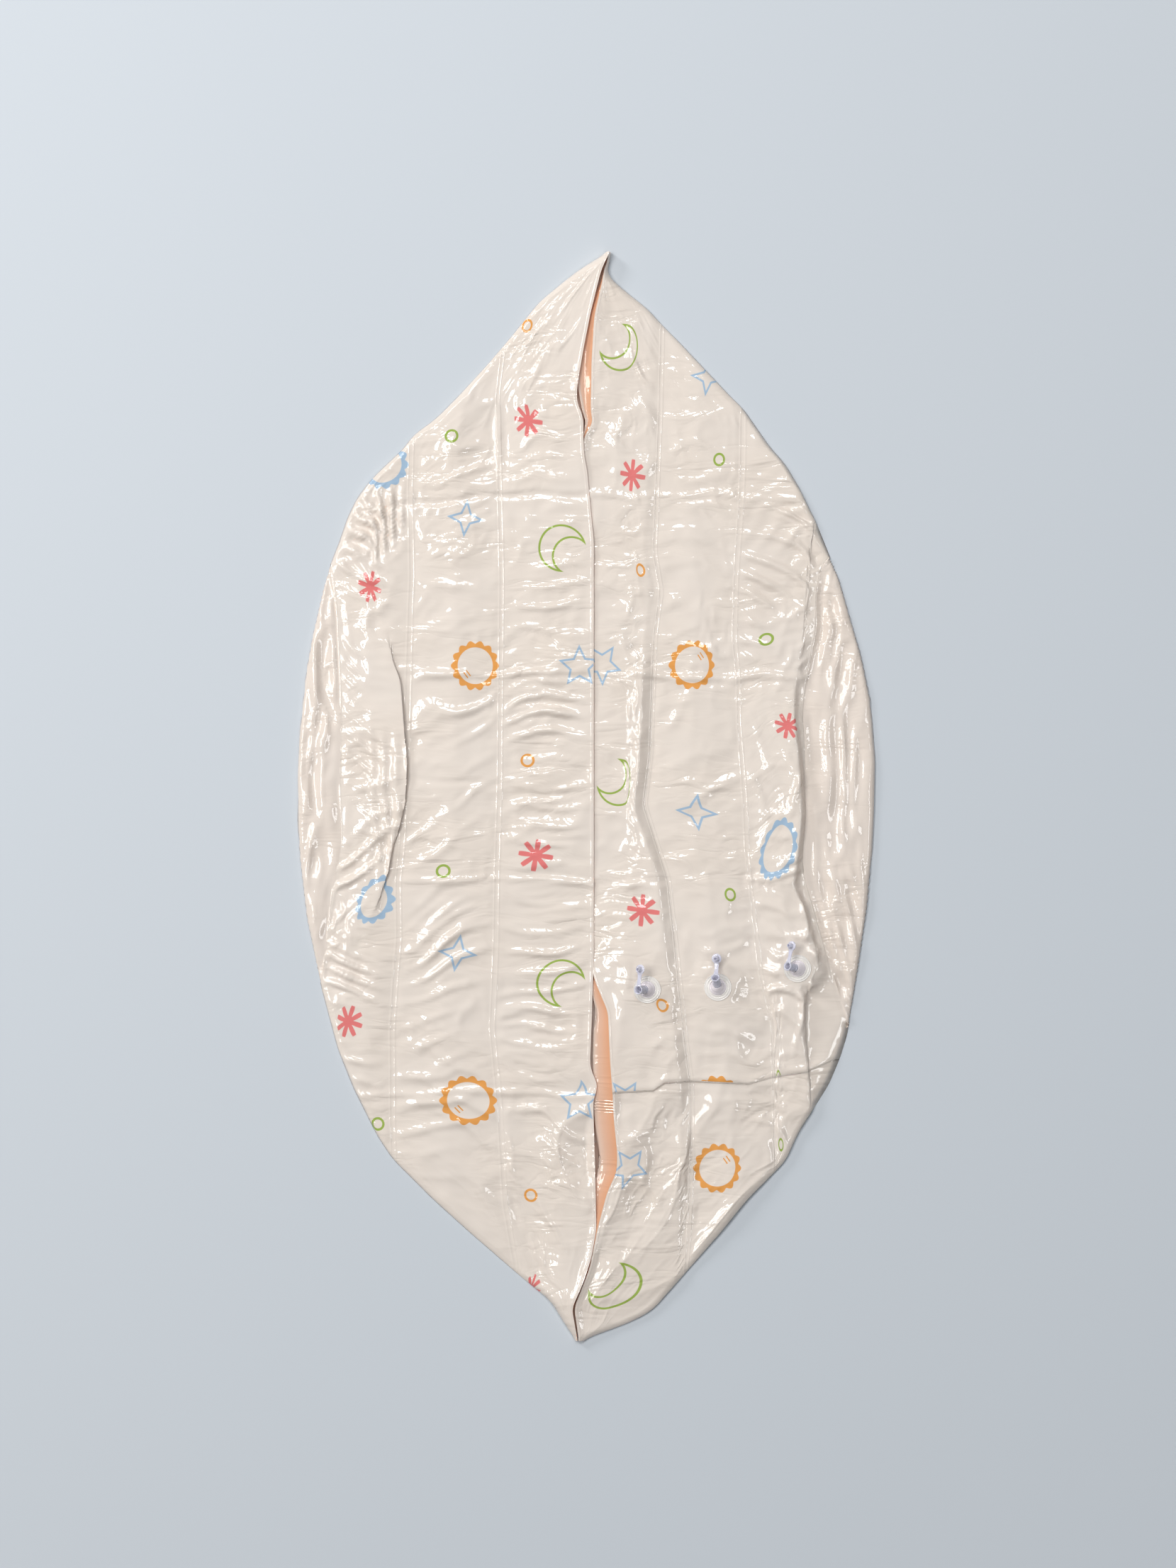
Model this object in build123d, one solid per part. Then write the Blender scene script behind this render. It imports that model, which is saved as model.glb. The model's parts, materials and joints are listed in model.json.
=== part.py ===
from build123d import *
import math
import os

# Folded three-ring inflatable paddling pool, let down and laid flat: the ring wall is folded in over the
# floor from both sides, so its top rim makes a slot down the middle. Three clear inflation valves stand on
# the right-hand side, one for each ring. Millimetres, +Z up, origin on the ground at the middle of the box.

# Driving sizes of the folded pool
half_length = 695.0
half_width = 369.0
film = 0.3  # thickness of the floor film and of both wall films
weld_width = 6.0  # band in which two films are welded together
ring_count = 3
slot_clearance = 4.0  # least distance between the two rims
slot_bottom = -640.0  # the rims part from here
slot_top = 655.0  # to here

# Heights of the wall over the ground, at the middle of the pool's length
left_seam_height = 4.0
left_crest_height = 8.5
right_seam_height = 9.0
right_crest_height = 18.0
inner_sag_height = 2.0  # top of the inner wall film between two welds

# Valves, from the rim outwards: place in the ring, place along the pool, lean, and which way each part leans
valve_share = (0.61, 0.48, 0.46)  # of the ring's width, from its inner weld
valve_y = (-245.6, -242.7, -218.9)
valve_lean = (33.0, 40.0, 41.5)  # degrees from upright
lean_azimuth = (177.0, 106.0, 164.0)  # degrees from +X
strap_azimuth = (84.0, 90.0, 80.0)
flange_radius = 17.5
flange_thickness = 0.8
flange_bore = 10.5
pad_margin = 4.5  # flat film round each flange
web_thickness = 0.9
web_height = 5.0  # from the flange to the web's upper ring, along the stem
stem_radius = 5.0
stem_below_web = 3.0
mouth_reach = 22.0  # from the flange's centre to the mouth, along the stem
mouth_bore = 3.75
mouth_depth = 8.0
lower_bore = 3.0
lip_radius = 5.9
lip_height = 1.8
fit_clearance = 0.1  # between pieces that move apart or slide
check_flap_radius = 4.6
check_flap_thickness = 0.6
strap_reach = 13.0  # from the stem's axis to the fold, and from the fold to the plug
strap_width = 7.2
strap_thickness = 1.0
plug_disc_radius = 6.3
plug_disc_thickness = 1.6
plug_shank_radius = 3.4
plug_tip_radius = 2.5
plug_shank_length = 3.0
plug_length = 6.0
push_travel = 7.0  # how far a stem goes in

# Outlines, as (share of half length, share of half width)
left_outline = [(-1.0, -0.065), (-0.93, -0.13), (-0.83, -0.33), (-0.72, -0.57), (-0.62, -0.73), (-0.50, -0.84),
                (-0.34, -0.94), (-0.17, -0.99), (0.0, -1.0), (0.12, -0.99), (0.27, -0.955), (0.42, -0.87),
                (0.56, -0.785), (0.61, -0.70), (0.71, -0.52), (0.80, -0.345), (0.91, -0.155), (1.0, 0.015)]
right_outline = [(-1.0, 0.02), (-0.95, 0.19), (-0.83, 0.42), (-0.70, 0.61), (-0.57, 0.79), (-0.43, 0.91),
                 (-0.27, 0.96), (-0.10, 0.99), (0.06, 1.0), (0.18, 0.985), (0.34, 0.91), (0.50, 0.82),
                 (0.61, 0.69), (0.71, 0.54), (0.84, 0.33), (0.93, 0.165), (1.0, 0.11)]
left_rim = [(-1.0, -0.03), (-0.90, -0.02), (-0.80, 0.036), (-0.60, 0.028), (-0.49, 0.012), (-0.29, 0.023),
            (0.47, 0.023), (0.62, -0.011), (0.76, -0.033), (0.90, 0.02), (1.0, 0.05)]
right_rim = [(-1.0, -0.02), (-0.90, -0.008), (-0.79, 0.036), (-0.70, 0.085), (-0.60, 0.092), (-0.48, 0.078),
             (-0.35, 0.035), (0.47, 0.026), (0.66, 0.0), (0.80, 0.018), (0.90, 0.032), (1.0, 0.075)]
# Floor film that shows outside the bottom weld, as (share of half length, millimetres)
left_margin = [(-0.45, 1.5), (-0.2, 35.0), (0.0, 52.0), (0.2, 45.0), (0.42, 8.0), (0.5, 1.5)]
right_margin = [(-0.45, 1.5), (-0.34, 22.0), (-0.1, 50.0), (0.15, 75.0), (0.3, 49.0), (0.45, 12.0), (0.5, 1.5)]
# Height of the folded wall, as (share of half length, share of the height at the middle)
height_profile = [(-1.0, 0.35), (-0.85, 0.8), (-0.6, 1.0), (0.5, 1.0), (0.8, 0.75), (1.0, 0.5)]
row_shares = (-1.0, -0.95, -0.87, -0.76, -0.66, -0.54, -0.46, -0.16, 0.0, 0.06, 0.18, 0.32, 0.44, 0.55, 0.66,
              0.76, 0.86, 0.935, 1.0)


def between(points, at):
    """The value at a place on a line through (place, value) points, level past both its ends."""
    if at <= points[0][0]:
        return points[0][1]
    for (a, low), (b, high) in zip(points, points[1:]):
        if at <= b:
            return low + (high - low) * (at - a) / (b - a)
    return points[-1][1]


def closed_solid(polygons):
    """A solid bounded by flat polygons, turned the other way round if it comes out inside out."""
    for way in (1, -1):
        solid = Solid(Shell([Face(Wire.make_polygon(polygon[::way])) for polygon in polygons]))
        if solid.volume > 0:
            return solid


def sheet(rows, open_rows, open_column):
    """A film one thickness deep, its top face through a grid of points, open between two columns."""
    top = {(i, j): point for i, row in enumerate(rows) for j, point in enumerate(row)}
    under = {key: (x, y, z - film) for key, (x, y, z) in top.items()}
    cells = [(i, j) for i in range(len(rows) - 1) for j in range(len(rows[0]) - 1)
             if not (j == open_column and i in open_rows)]
    polygons, edges = [], set()
    for i, j in cells:
        ring = [(i, j), (i, j + 1), (i + 1, j + 1), (i + 1, j)]
        for corner in ((0, 1, 2), (0, 2, 3)):
            polygons.append([top[ring[k]] for k in corner])
            polygons.append([under[ring[k]] for k in reversed(corner)])
        edges.update(zip(ring, ring[1:] + ring[:1]))
    for a, b in edges:
        if (b, a) not in edges:
            polygons.append([top[b], top[a], under[a], under[b]])
    return closed_solid(polygons)


# Rows of points across the folded wall. Both rows at the valves have one height, so the film is flat there.
pad_half = flange_radius + pad_margin
pad_bottom, pad_top = min(valve_y) - pad_half, max(valve_y) + pad_half
row_y = sorted([share * half_length for share in row_shares] + [pad_bottom, pad_top])


def half_row(y, side):
    """The places across one half of the wall, from its rim outwards: rim weld, rings, seams, bottom weld."""
    share = y / half_length
    outline, rim, margin = ((left_outline, left_rim, left_margin), (right_outline, right_rim, right_margin))[side]
    edge = between(outline, share) * half_width
    inner = between(rim, share) * half_width
    if side:
        inner = max(inner, between(left_rim, share) * half_width + slot_clearance)
    reach = edge - inner
    bottom_weld = edge - math.copysign(min(between(margin, share), abs(reach) / 4), reach)
    ring = (bottom_weld - inner) / ring_count
    half_weld = min(weld_width / 2, abs(ring) / 10)
    way = math.copysign(1, ring)
    places = [inner]
    for k in range(ring_count):
        start, centre = inner + k * ring, inner + (k + valve_share[k]) * ring
        room = abs(ring) * min(valve_share[k], 1 - valve_share[k]) - 2 * half_weld
        half_pad = min(pad_half, 0.9 * room)
        places += [start + way * half_weld * (2 if k == 0 else 1), centre - way * half_pad,
                   centre + way * half_pad, start + ring - way * half_weld * (2 if k == ring_count - 1 else 1)]
    return places + [bottom_weld], edge


def heights(y, side, outer):
    """The heights that go with half_row: the two films meet in each weld and part in each ring."""
    at = 0 if pad_bottom <= y <= pad_top else y / half_length
    rise = between(height_profile, at)
    seam = (left_seam_height, right_seam_height)[side] * rise
    crest = (left_crest_height, right_crest_height)[side] * rise
    mid = crest if outer else inner_sag_height
    weld = seam if outer else seam - film
    ground = 3 * film if outer else 2 * film
    return [weld] + [weld, mid, mid, weld] * (ring_count - 1) + [weld, mid, mid, ground, ground]


def wall_rows(outer):
    rows = []
    for y in row_y:
        left = list(zip(half_row(y, 0)[0], heights(y, 0, outer)))
        right = list(zip(half_row(y, 1)[0], heights(y, 1, outer)))
        rows.append([(x, y, z) for x, z in left[::-1] + right])
    return rows


rim_column = 4 * ring_count + 1
slot_rows = [i for i in range(len(row_y) - 1) if row_y[i] >= slot_bottom and row_y[i + 1] <= slot_top]

floor_edge = [(half_row(y, 0)[1], y) for y in row_y] + [(half_row(y, 1)[1], y) for y in reversed(row_y)]
floor_sheet = extrude(make_face(Polyline(*floor_edge, close=True)), film)
inner_wall_sheet = sheet(wall_rows(outer=False), slot_rows, rim_column)
outer_wall_sheet = sheet(wall_rows(outer=True), slot_rows, rim_column)

# Valves. Each is made in a frame of its own, with its stem along Z and its strap along X, then placed.
parts = {"floor_sheet": floor_sheet, "inner_wall_sheet": inner_wall_sheet}


def ring_between(outer_radius, inner_radius, low, high):
    """A tube from one height to another."""
    tube = Cylinder(outer_radius, high - low, align=(Align.CENTER, Align.CENTER, Align.MIN))
    tube -= Cylinder(inner_radius, high - low, align=(Align.CENTER, Align.CENTER, Align.MIN))
    return Pos(0, 0, low) * tube


def valve_stem():
    """Tube with a rolled lip, a wide mouth that seats the plug and a narrower bore under it."""
    low = web_height - stem_below_web
    neck = ring_between(stem_radius, lower_bore, low, mouth_reach - mouth_depth)
    mouth = ring_between(stem_radius, mouth_bore, mouth_reach - mouth_depth, mouth_reach)
    lip = ring_between(lip_radius, mouth_bore, mouth_reach - lip_height, mouth_reach)
    return neck + mouth + lip


def cap_plug():
    """Plug and disc, pushed home in the mouth."""
    seat = mouth_reach + fit_clearance
    profile = Polyline((0, seat + plug_disc_thickness), (plug_disc_radius, seat + plug_disc_thickness),
                       (plug_disc_radius, seat), (plug_shank_radius, seat),
                       (plug_shank_radius, seat - plug_shank_length), (plug_tip_radius, seat - plug_length),
                       (0, seat - plug_length), close=True)
    return revolve(make_face(Plane.XZ * profile), Axis.Z)


def cap_strap(rise):
    """Strap from the lip to the open plug's disc, bent up by an angle at its fold."""
    lean = math.radians(rise)
    drop = fit_clearance + plug_disc_thickness / 2
    level = mouth_reach - drop
    along, across = (math.cos(lean), math.sin(lean)), (-math.sin(lean), math.cos(lean))
    bend = strap_reach + drop * math.tan(lean / 2)
    far = strap_reach - drop * math.tan(lean / 2) - plug_disc_radius - fit_clearance
    half = strap_thickness / 2
    mitre = half * math.tan(lean / 2)
    start = stem_radius
    end = (bend + far * along[0], level + far * along[1])
    profile = Polyline((start, level + half), (bend - mitre, level + half),
                       (end[0] + half * across[0], end[1] + half * across[1]),
                       (end[0] - half * across[0], end[1] - half * across[1]),
                       (bend + mitre, level - half), (start, level - half), close=True)
    strap = extrude(make_face(Plane.XZ * profile), strap_width / 2, both=True)
    return strap - Cylinder(lip_radius, 3 * mouth_reach)


def check_flap():
    """Soft disc under the stem's lower end."""
    top = web_height - stem_below_web - fit_clearance
    disc = Cylinder(check_flap_radius, check_flap_thickness, align=(Align.CENTER, Align.CENTER, Align.MAX))
    return Pos(0, 0, top) * disc


def valve_web(place, level_x, foot_height):
    """Thin leaning cone between the flange's bore and the stem, of flat facets."""
    count = 24
    foot = flange_bore - fit_clearance

    def circle(radius, leaning):
        points = []
        for k in range(count):
            a = 2 * math.pi * k / count
            x, y = radius * math.cos(a), radius * math.sin(a)
            at = (place.location * Location((x, y, web_height))).position if leaning else (
                place.origin + Vector(x * level_x.X - y * level_x.Y, x * level_x.Y + y * level_x.X, foot_height))
            points.append(tuple(at))
        return points

    outer_top, inner_top = (circle(stem_radius + fit_clearance + r, True) for r in (web_thickness, 0))
    outer_foot, inner_foot = (circle(foot - r, False) for r in (0, web_thickness))
    polygons = []
    for k in range(count):
        n = (k + 1) % count
        for low, high, way in ((outer_foot, outer_top, 1), (inner_foot, inner_top, -1)):
            for corners in ((low[k], low[n], high[n]), (low[k], high[n], high[k])):
                polygons.append(corners[::way])
        polygons.append([outer_foot[n], outer_foot[k], inner_foot[k], inner_foot[n]])
        polygons.append([outer_top[k], outer_top[n], inner_top[n], inner_top[k]])
    return closed_solid(polygons)


for index in range(ring_count):
    number = index + 1
    places, _ = half_row(valve_y[index], 1)
    crest = places[4 * index + 2: 4 * index + 4]
    centre = Vector(sum(crest) / 2, valve_y[index], right_crest_height)
    lean, azimuth, strap_way = (math.radians(v[index]) for v in (valve_lean, lean_azimuth, strap_azimuth))
    stem_way = Vector(math.sin(lean) * math.cos(azimuth), math.sin(lean) * math.sin(azimuth), math.cos(lean))
    level_strap = Vector(math.cos(strap_way), math.sin(strap_way), 0)
    fold_way = (level_strap - stem_way * level_strap.dot(stem_way)).normalized()
    rise = math.degrees(math.asin(level_strap.dot(stem_way)))
    place = Plane(origin=centre, x_dir=fold_way, z_dir=stem_way)
    fold = Axis((strap_reach, 0, mouth_reach), (0, 1, 0))
    open_angle = 180 - rise

    flange = Pos(*centre) * ring_between(flange_radius, flange_bore, 0, flange_thickness)
    outer_wall_sheet -= Pos(*centre) * Cylinder(flange_bore, 4 * film)
    parts[f"valve_flange_{number}"] = flange
    parts[f"valve_web_{number}"] = valve_web(place, level_strap, flange_thickness / 2)
    parts[f"valve_stem_{number}"] = place.location * valve_stem()
    parts[f"check_flap_{number}"] = place.location * check_flap()
    parts[f"cap_strap_{number}"] = place.location * cap_strap(rise)
    parts[f"cap_plug_{number}"] = place.location * cap_plug().rotate(fold, open_angle)

    hinge = (place.location * Location((strap_reach, 0, mouth_reach))).position
    mouth = (place.location * Location((0, 0, mouth_reach))).position
    flap_low = web_height - stem_below_web - fit_clearance
    flap_hinge = (place.location * Location((check_flap_radius, 0, flap_low))).position
    print("valve", number, "stem axis", stem_way, "mouth", mouth, "cap hinge", hinge)
    print("hinge axis", place.y_dir, "open angle", open_angle, "flap hinge", flap_hinge)

parts["outer_wall_sheet"] = outer_wall_sheet

os.makedirs("parts", exist_ok=True)
for node, shape in parts.items():
    export_step(shape, f"parts/{node}.step")
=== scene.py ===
import json
import math
from functools import partial

import bpy
import numpy as np
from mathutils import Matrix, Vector


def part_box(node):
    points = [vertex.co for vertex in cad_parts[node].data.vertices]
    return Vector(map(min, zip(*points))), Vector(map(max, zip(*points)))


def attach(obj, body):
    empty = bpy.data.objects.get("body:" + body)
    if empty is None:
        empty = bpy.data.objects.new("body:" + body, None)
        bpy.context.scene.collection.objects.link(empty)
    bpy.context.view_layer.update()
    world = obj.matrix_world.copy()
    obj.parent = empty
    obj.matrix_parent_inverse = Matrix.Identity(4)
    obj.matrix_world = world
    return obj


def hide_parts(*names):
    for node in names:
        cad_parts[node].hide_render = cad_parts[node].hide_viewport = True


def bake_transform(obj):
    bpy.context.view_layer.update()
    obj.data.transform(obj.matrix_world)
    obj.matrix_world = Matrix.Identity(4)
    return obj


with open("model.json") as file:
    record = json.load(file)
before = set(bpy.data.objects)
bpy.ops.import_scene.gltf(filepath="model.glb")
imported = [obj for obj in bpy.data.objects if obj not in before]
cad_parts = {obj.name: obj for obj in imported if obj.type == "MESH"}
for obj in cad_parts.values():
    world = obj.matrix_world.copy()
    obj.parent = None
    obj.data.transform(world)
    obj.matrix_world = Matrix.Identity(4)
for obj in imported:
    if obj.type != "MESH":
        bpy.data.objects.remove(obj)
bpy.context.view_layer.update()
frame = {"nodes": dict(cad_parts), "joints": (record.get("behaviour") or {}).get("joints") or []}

# ---------------------------------------------------------------------------------------------------------
# The folded pool's lines. A wall of three rings is folded in from both sides over a round floor. Every line
# that runs along the pool is a list of (y, x) points in millimetres, drawn for a pool that is 1390 by 738 mm
# and scaled to the frame. All making below is in millimetres; make_mesh turns it into metres.

floor_low, floor_high = (np.array(corner) * 1000 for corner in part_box("floor_sheet"))
half_width = (floor_high[0] - floor_low[0]) / 2
half_length = (floor_high[1] - floor_low[1]) / 2
x_scale, y_scale = half_width / 369.0, half_length / 695.0


def along(points, y):
    """The value of a line at each y: straight between its (y, value) points, eased by a short running mean."""
    points = sorted(points)
    ys = np.array([p[0] for p in points]) * y_scale
    values = np.array([p[1] for p in points])
    ease = np.linspace(-8.0, 8.0, 9)
    return np.mean([np.interp(y + shift, ys, values) for shift in ease], axis=0)


def across(points, y):
    """As along, for a value that is a place across the pool."""
    return along(points, y) * x_scale


left_outline = [(695, 27), (684, 7), (673, -10), (660, -27), (632, -61), (586, -98), (551, -128), (510, -166),
                (482, -194), (462, -222), (444, -235), (421, -260), (406, -275), (383, -293), (357, -306),
                (327, -316), (299, -327), (269, -336), (205, -351), (160, -359), (85, -367), (30, -370),
                (-30, -370), (-80, -367), (-157, -358), (-250, -338), (-324, -318), (-374, -298), (-434, -268),
                (-464, -248), (-514, -198), (-559, -148), (-610, -89), (-645, -46), (-673, -29), (-695, -14)]
right_outline = [(695, 31), (667, 26), (648, 46), (624, 77), (605, 94), (580, 119), (510, 185), (496, 200),
                 (447, 234), (426, 253), (396, 271), (351, 293), (304, 312), (278, 323), (235, 335), (181, 351),
                 (123, 363), (44, 369), (-15, 368), (-70, 365), (-140, 359), (-227, 346), (-304, 333),
                 (-333, 324), (-367, 310), (-399, 290), (-430, 271), (-466, 254), (-486, 235), (-515, 206),
                 (-557, 172), (-615, 121), (-655, 86), (-666, 69), (-680, 36), (-691, 2), (-695, -8)]
left_rim = [(695, 29), (670, 18), (618, 5), (573, -4), (527, -12), (504, -13), (484, -5), (437, -4), (416, 0),
            (326, 8.5), (-204, 8.5), (-340, 4), (-348, 5), (-370, 14), (-385, 8), (-445, 9), (-505, 11),
            (-550, 12), (-569, 9), (-590, 5), (-620, -5), (-652, -19), (-695, -12)]
right_rim = [(695, 29.5), (667, 22), (615, 10), (605, 9), (553, 6), (492, 5), (475, 8), (464, -2), (437, -6),
             (300, 3), (-204, 4), (-234, 10), (-274, 27), (-340, 30), (-378, 33), (-415, 35), (-454, 39),
             (-478, 38), (-505, 26), (-550, 14), (-600, 4), (-652, -16), (-695, -10)]

# ---------------------------------------------------------------------------------------------------------
# Outer wall film: one printed vinyl strip, 350 mm high and half the way round on each side, with two welds
# between its three rings. It comes over from the rim to the fold at the outline, turns under there and runs
# back to the floor's round weld. Each half is a grid: rows along the pool, columns down the strip.

ring_height = 116.7
wall_height = 3 * ring_height
floor_radius = 442.0
row_count = 540
top_columns = 160
under_columns = 14
under_height = 0.4  # of the layer turned under
floor_reach = 290.0  # along the pool, up to where the floor is wider than the folded pool
floor_turn = 0.754  # share of the floor's radius at which its edge meets the outline there
fold_round = 9.0  # way in from the fold over which the film comes up to its height


def folded_lines(side):
    """Lines down the strip, as strip place -> (line of x, line of height), for the left or the right half."""
    if side < 0:
        rim_z = [(695, 15), (600, 13), (500, 11), (300, 8.5), (-250, 8.5), (-350, 10), (-520, 12), (-640, 18),
                 (-695, 10)]
        return {
            0: (left_rim, rim_z),
            58: (shifted(left_rim, -58), [(695, 9), (560, 8), (300, 7.5), (-300, 8), (-560, 11), (-695, 5)]),
            117: ([(695, -92), (510, -114), (395, -111.5), (281, -109), (148, -110.5), (21, -111.5),
                   (-30, -113), (-106, -115.5), (-182, -116.5), (-250, -119), (-295, -121.5), (-394, -111.6),
                   (-518, -104.5), (-603, -89.5), (-695, -84)], [(695, 4), (300, 4.6), (-400, 5), (-695, 4)]),
            175: ([(695, -150), (400, -168), (150, -165), (-40, -172), (-295, -183), (-695, -165)],
                  [(695, 4), (420, 8), (250, 8.5), (0, 8), (-400, 8), (-695, 4)]),
            233: ([(695, -222), (375, -224.5), (281, -222), (241, -224.5), (154, -226), (40, -229), (-68, -235),
                   (-106, -240), (-182, -239), (-220, -242.5), (-295, -248), (-419, -248), (-695, -240)],
                  [(695, 3), (375, 4.5), (160, 4.0), (-160, 4.0), (-419, 4.5), (-695, 3)]),
            250: ([(695, -239), (420, -243), (230, -245), (148, -252), (40, -254), (-60, -256), (-130, -262),
                   (-180, -262), (-300, -268), (-695, -258)],
                  [(695, 3), (420, 6.5), (200, 6.5), (148, 4.2), (-60, 4.2), (-130, 5), (-200, 7), (-400, 6),
                   (-695, 3)]),
            268: ([(695, -257), (420, -262), (220, -262), (172, -246), (148, -235), (110, -231), (39, -226),
                   (-4, -228), (-40, -237), (-63, -246), (-96, -252), (-129, -265), (-160, -280), (-300, -286),
                   (-695, -276)],
                  [(695, 3), (420, 7.5), (220, 8), (150, 9.5), (40, 10.5), (-60, 10), (-130, 9.5), (-180, 8),
                   (-400, 7), (-695, 3)]),
            296: ([(695, -286), (420, -284), (200, -280), (40, -262), (-60, -268), (-160, -300), (-300, -312),
                   (-695, -305)], [(695, 3), (420, 7), (200, 7.5), (40, 9), (-60, 8.8), (-160, 8), (-400, 6),
                                   (-695, 3)]),
            wall_height: ([(695, -342), (330, -338), (289, -327), (230, -320.5), (154, -317), (97, -316),
                           (21, -318.5), (-50, -315), (-80, -319.5), (-131, -328.5), (-182, -333.5),
                           (-250, -342), (-695, -350)],
                          [(695, 3), (289, 3.5), (0, 4.6), (-182, 4), (-695, 3)]),
        }
    rim_z = [(695, 15), (600, 11), (500, 9), (300, 5.5), (-200, 6), (-240, 10), (-300, 17), (-440, 19),
             (-520, 15), (-640, 13), (-695, 9)]
    seam = [(695, 112), (602, 96.5), (485, 93.5), (386, 89.5), (312, 86.5), (262, 95), (202, 87), (53, 81.5),
            (-11, 74), (-105, 104), (-194, 114), (-294, 124), (-365, 133), (-449, 134.5), (-560, 130),
            (-695, 120)]
    second = [(695, 215), (496, 198.5), (416, 197.5), (382, 196.5), (343, 193.5), (275, 189), (202, 187.5),
              (150, 193), (93, 194), (44, 198), (-5, 202), (-74, 204.5), (-224, 221), (-290, 236.6),
              (-376, 238.7), (-695, 245)]
    ridge = [(695, 310), (420, 300), (304, 281), (215, 275), (136, 264.5), (103, 263.5), (54, 268.5),
             (-18, 273.5), (-54, 270.5), (-92, 266), (-115, 264), (-144, 276), (-176, 284.5), (-200, 292),
             (-222, 288), (-250, 277), (-280, 274.5), (-310, 276), (-350, 280.5), (-440, 286), (-695, 300)]
    return {
        0: (right_rim, rim_z),
        50: (shifted(right_rim, 46), [(695, 8), (480, 8), (200, 7.5), (60, 8), (-100, 10.5), (-200, 16),
                                      (-300, 17), (-450, 14), (-600, 12), (-695, 6)]),
        98: (shifted(seam, -14), [(695, 6), (480, 8), (190, 8.5), (140, 12), (60, 13.5), (-40, 14), (-120, 16),
                                  (-200, 19), (-330, 19), (-400, 15), (-560, 11), (-695, 6)]),
        117: (seam, [(695, 4), (480, 5.5), (190, 6), (130, 4.8), (60, 5.2), (-40, 7), (-150, 11), (-220, 14),
                     (-300, 14), (-400, 9), (-560, 8), (-695, 5)]),
        168: (shifted(seam, 50), [(695, 4), (480, 8), (200, 10), (0, 11), (-150, 15), (-260, 18), (-340, 16),
                                  (-440, 16), (-560, 11), (-695, 5)]),
        233: (second, [(695, 3), (480, 5.5), (200, 8), (0, 9.5), (-200, 12), (-300, 12), (-400, 9), (-500, 7),
                       (-695, 4)]),
        285: (shifted(ridge, -26), [(695, 3), (480, 6.5), (250, 8), (150, 11), (60, 15), (-60, 15), (-170, 17),
                                    (-240, 18), (-340, 13), (-440, 9), (-695, 4)]),
        318: (ridge, [(695, 3), (480, 6), (250, 8), (150, 12), (60, 19), (-90, 19), (-140, 18), (-200, 21),
                      (-260, 19), (-340, 14), (-440, 8), (-695, 4)]),
        335: (shifted(ridge, 6), [(695, 3), (480, 5), (250, 6), (150, 8), (60, 8), (-90, 8), (-200, 9),
                                  (-260, 8), (-340, 8), (-440, 6), (-695, 4)]),
        wall_height: ([(695, 342), (330, 335), (304, 310), (291, 300), (255, 293), (215, 294), (169, 285),
                       (132, 279), (106, 276), (54, 279), (-92, 276), (-150, 292), (-200, 306), (-250, 322),
                       (-290, 336), (-330, 345), (-695, 350)],
                      [(695, 3), (304, 3.5), (150, 4.5), (0, 4.6), (-200, 4.6), (-290, 4), (-695, 3)]),
    }


def shifted(points, by):
    return [(y, x + by) for y, x in points]


def eased(values, rounds):
    """Values moved towards the mean of their neighbours along the last axis, a few times over."""
    for _ in range(rounds):
        values[..., 1:-1] = 0.25 * values[..., :-2] + 0.5 * values[..., 1:-1] + 0.25 * values[..., 2:]
    return values


def lump_noise(shape, cells, seed):
    """Smooth random values: a coarse random grid of cells, stretched to the shape by cubic easing."""
    rng = np.random.default_rng(seed)
    rows, columns = cells
    coarse = rng.normal(size=(rows + 3, columns + 3))
    out = coarse
    for axis, (count, size) in enumerate(zip(shape, cells)):
        at = np.linspace(0, size, count, endpoint=False)
        i = at.astype(int)
        t = at - i
        weights = [(-t + 2 * t**2 - t**3) / 2, (2 - 5 * t**2 + 3 * t**3) / 2, (t + 4 * t**2 - 3 * t**3) / 2,
                   (t**3 - t**2) / 2]
        take = [np.take(out, i + k, axis=axis) for k in range(4)]
        form = (-1, 1) if axis == 0 else (1, -1)
        out = sum(w.reshape(form) * values for w, values in zip(weights, take))
    return out


def sharp_noise(shape, cells, seed):
    """Creased random values: smooth noise mirrored where it changes sign, so it has sharp lines."""
    return 0.55 - 1.1 * np.abs(lump_noise(shape, cells, seed))


# The settling of the film, each as a share per round: how much of a pair's misfit each of its two points
# takes up, the bed's pull, the film's stiffness, and the speed that is kept.
pair_share, bed_pull, bend_stiffness, kept_speed = 0.25, 0.004, 0.0015, 0.86


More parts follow.
